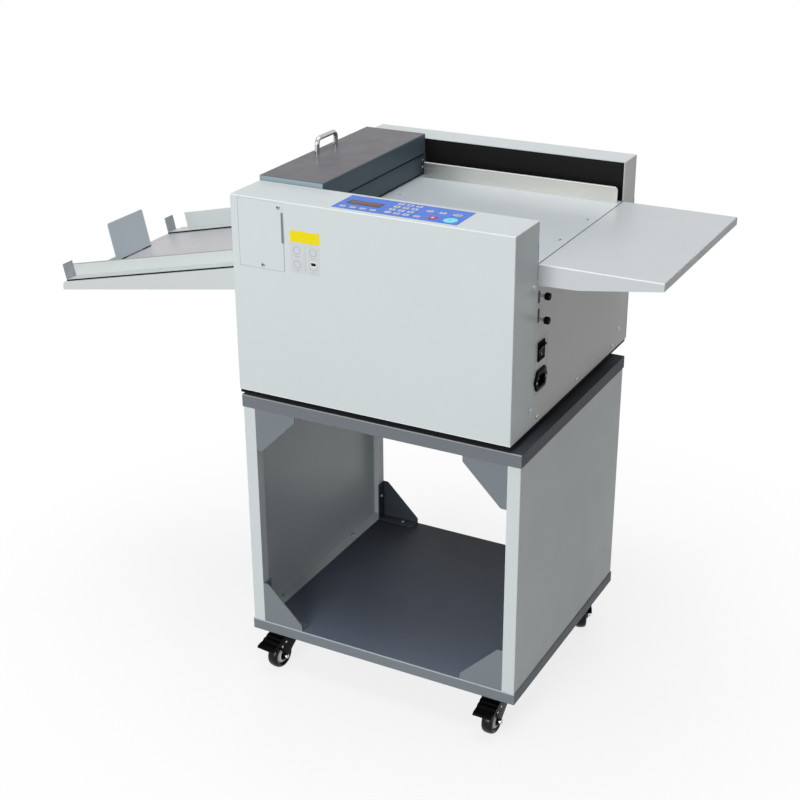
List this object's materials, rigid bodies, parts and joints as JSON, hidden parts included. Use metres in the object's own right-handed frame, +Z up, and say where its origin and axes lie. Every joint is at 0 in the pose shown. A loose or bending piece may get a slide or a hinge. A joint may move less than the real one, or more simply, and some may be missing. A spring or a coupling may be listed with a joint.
{
  "type": "paper creasing machine",
  "caption": "Electric paper creasing machine with a lidded head, membrane control panel, feed and extension tables and a sloping exit tray, on an open steel stand with braked castors.",
  "frame": {"origin": "on the floor, under the middle of the stand's footprint", "axes": "+X from the exit tray to the infeed table, +Y to the back, +Z up"},
  "size_m": [1.0888, 0.5067, 0.896],
  "materials": {
    "machine_paint": "pale grey-white powder coat, fine satin texture",
    "dark_paint": "dark grey powder coat, fine texture",
    "table_paint": "pale grey powder coat on the feed and extension tables",
    "tray_paint": "grey paint on the exit tray",
    "guide_paint": "pale grey paint on guides and stop",
    "black_paint": "black paint",
    "stainless": "brushed stainless steel",
    "chrome": "polished chrome",
    "zinc": "bright zinc plate",
    "steel": "ground steel",
    "bronze": "oil bronze",
    "black_plastic": "black moulded plastic",
    "wheel_rubber": "black polyurethane tread",
    "foot_rubber": "black rubber",
    "roller_rubber": "dark grey feed rubber",
    "belt_rubber": "black neoprene belt",
    "overlay_blue": "printed blue membrane",
    "display_glass": "dark display window",
    "board_green": "green circuit board",
    "supply_case": "pressed aluminium case"
  },
  "bodies": {
    "machine": {"stand_top_plate": "dark_paint", "stand_shelf": "dark_paint", "stand_left_panel": "machine_paint", "stand_right_panel": "machine_paint", "stand_gussets": "dark_paint", "stand_screws": "zinc", "caster_plates": "zinc", "base_tray": "black_paint", "machine_feet": "foot_rubber", "front_side_frame": "steel", "rear_side_frame": "steel", "front_cover": "machine_paint", "rear_cover": "machine_paint", "infeed_end_panel": "machine_paint", "exit_end_panel": "machine_paint", "feed_table": "table_paint", "extension_table": "table_paint", "side_fence": "stainless", "rear_inner_panel": "black_paint", "head_infeed_panel": "dark_paint", "lid_hinge_pins": "steel", "access_door": "machine_paint", "cover_screws": "machine_paint", "control_overlay": "overlay_blue", "display_window": "display_glass", "power_inlet": "black_plastic", "switch_housing": "black_plastic", "exit_tray": "tray_paint", "roller_bushings": "bronze", "crease_die": "steel", "drive_motors": "black_paint", "feed_belt": "belt_rubber", "power_supply": "supply_case", "control_board": "board_green"},
    "lid": {"head_cover": "dark_paint", "lid_handle": "chrome"},
    "upper_knob": {"upper_clamp_knob": "black_plastic"},
    "lower_knob": {"lower_clamp_knob": "black_plastic"},
    "rocker": {"switch_rocker": "black_plastic"},
    "guide_front": {"exit_guide_front": "guide_paint"},
    "guide_rear": {"exit_guide_rear": "guide_paint"},
    "stop": {"exit_stop": "guide_paint"},
    "roller_infeed_lower": {"lower_infeed_roller": "roller_rubber"},
    "roller_infeed_upper": {"upper_infeed_roller": "roller_rubber"},
    "roller_exit_lower": {"lower_exit_roller": "roller_rubber"},
    "roller_exit_upper": {"upper_exit_roller": "roller_rubber"},
    "cam": {"cam_shaft": "steel"},
    "beam": {"crease_beam": "steel"},
    "fl_swivel": {"caster_fl_fork": "zinc"},
    "fl_wheel": {"caster_fl_wheel": "wheel_rubber"},
    "fl_brake": {"caster_fl_pedal": "zinc"},
    "fr_swivel": {"caster_fr_fork": "zinc"},
    "fr_wheel": {"caster_fr_wheel": "wheel_rubber"},
    "fr_brake": {"caster_fr_pedal": "zinc"},
    "rl_swivel": {"caster_rl_fork": "zinc"},
    "rl_wheel": {"caster_rl_wheel": "wheel_rubber"},
    "rl_brake": {"caster_rl_pedal": "zinc"},
    "rr_swivel": {"caster_rr_fork": "zinc"},
    "rr_wheel": {"caster_rr_wheel": "wheel_rubber"},
    "rr_brake": {"caster_rr_pedal": "zinc"}
  },
  "joints": [
    {"name": "lid_hinge", "type": "hinge", "parent": "machine", "child": "lid", "pos_m": [-0.1355, 0.031, 0.846], "axis": [0, 1, 0], "range_deg": [0, 100]},
    {"name": "fl_swivel_turn", "type": "hinge", "parent": "machine", "child": "fl_swivel", "pos_m": [-0.2035, -0.181, 0.068], "axis": [0, 0, 1], "continuous": true},
    {"name": "fl_wheel_spin", "type": "hinge", "parent": "fl_swivel", "child": "fl_wheel", "pos_m": [-0.20618, -0.20284, 0.024], "axis": [0.9925, -0.1219, 0], "continuous": true},
    {"name": "fl_brake_press", "type": "hinge", "parent": "fl_swivel", "child": "fl_brake", "pos_m": [-0.20618, -0.20284, 0.054], "axis": [0.9925, -0.1219, 0], "range_deg": [0, 24]},
    {"name": "fr_swivel_turn", "type": "hinge", "parent": "machine", "child": "fr_swivel", "pos_m": [0.2035, -0.181, 0.068], "axis": [0, 0, 1], "continuous": true},
    {"name": "fr_wheel_spin", "type": "hinge", "parent": "fr_swivel", "child": "fr_wheel", "pos_m": [0.20312, -0.203, 0.024], "axis": [0.9998, -0.0175, 0], "continuous": true},
    {"name": "fr_brake_press", "type": "hinge", "parent": "fr_swivel", "child": "fr_brake", "pos_m": [0.20312, -0.203, 0.054], "axis": [0.9998, -0.0175, 0], "range_deg": [0, 24]},
    {"name": "rl_swivel_turn", "type": "hinge", "parent": "machine", "child": "rl_swivel", "pos_m": [-0.2035, 0.181, 0.068], "axis": [0, 0, 1], "continuous": true},
    {"name": "rl_wheel_spin", "type": "hinge", "parent": "rl_swivel", "child": "rl_wheel", "pos_m": [-0.19818, 0.15965, 0.024], "axis": [0.9703, 0.2419, 0], "continuous": true},
    {"name": "rl_brake_press", "type": "hinge", "parent": "rl_swivel", "child": "rl_brake", "pos_m": [-0.19818, 0.15965, 0.054], "axis": [0.9703, 0.2419, 0], "range_deg": [0, 24]},
    {"name": "rr_swivel_turn", "type": "hinge", "parent": "machine", "child": "rr_swivel", "pos_m": [0.2035, 0.181, 0.068], "axis": [0, 0, 1], "continuous": true},
    {"name": "rr_wheel_spin", "type": "hinge", "parent": "rr_swivel", "child": "rr_wheel", "pos_m": [0.2128, 0.16106, 0.024], "axis": [0.9063, 0.4226, 0], "continuous": true},
    {"name": "rr_brake_press", "type": "hinge", "parent": "rr_swivel", "child": "rr_brake", "pos_m": [0.2128, 0.16106, 0.054], "axis": [0.9063, 0.4226, 0], "range_deg": [0, 24]},
    {"name": "upper_knob_slide", "type": "slide", "parent": "machine", "child": "upper_knob", "axis": [0, 0, 1], "range_m": [-0.0085, 0.0025]},
    {"name": "lower_knob_slide", "type": "slide", "parent": "machine", "child": "lower_knob", "axis": [0, 0, 1], "range_m": [-0.002, 0.012]},
    {"name": "rocker_tilt", "type": "hinge", "parent": "machine", "child": "rocker", "pos_m": [0.2325, -0.1235, 0.652], "axis": [0, 1, 0], "range_deg": [-18, 0]},
    {"name": "guide_front_slide", "type": "slide", "parent": "machine", "child": "guide_front", "axis": [0, 1, 0], "range_m": [0, 0.08]},
    {"name": "guide_rear_slide", "type": "slide", "parent": "machine", "child": "guide_rear", "axis": [0, 1, 0], "range_m": [-0.08, 0.022]},
    {"name": "stop_slide", "type": "slide", "parent": "machine", "child": "stop", "axis": [0.9751, 0, 0.2215], "range_m": [0, 0.3]},
    {"name": "infeed_lower_spin", "type": "hinge", "parent": "machine", "child": "roller_infeed_lower", "pos_m": [-0.1515, 0.031, 0.7842], "axis": [0, 1, 0], "continuous": true},
    {"name": "infeed_upper_spin", "type": "hinge", "parent": "machine", "child": "roller_infeed_upper", "pos_m": [-0.1515, 0.031, 0.8045], "axis": [0, 1, 0], "continuous": true},
    {"name": "exit_lower_spin", "type": "hinge", "parent": "machine", "child": "roller_exit_lower", "pos_m": [-0.2195, 0.031, 0.7842], "axis": [0, 1, 0], "continuous": true},
    {"name": "exit_upper_spin", "type": "hinge", "parent": "machine", "child": "roller_exit_upper", "pos_m": [-0.2195, 0.031, 0.8045], "axis": [0, 1, 0], "continuous": true},
    {"name": "cam_turn", "type": "hinge", "parent": "machine", "child": "cam", "pos_m": [-0.1855, 0.031, 0.8423], "axis": [0, 1, 0], "range_deg": [0, 160]},
    {"name": "beam_press", "type": "slide", "parent": "machine", "child": "beam", "axis": [0, 0, -1], "range_m": [0, 0.004], "stiffness_N_per_m": 150, "springref_m": -0.0785}
  ],
  "couplings": [
    {"joint": "infeed_upper_spin", "follows": "infeed_lower_spin", "ratio": -1},
    {"joint": "exit_lower_spin", "follows": "infeed_lower_spin", "ratio": 1},
    {"joint": "exit_upper_spin", "follows": "infeed_lower_spin", "ratio": -1},
    {"joint": "cam_turn", "follows": "beam_press", "rad_per_m": 698.13}
  ]
}
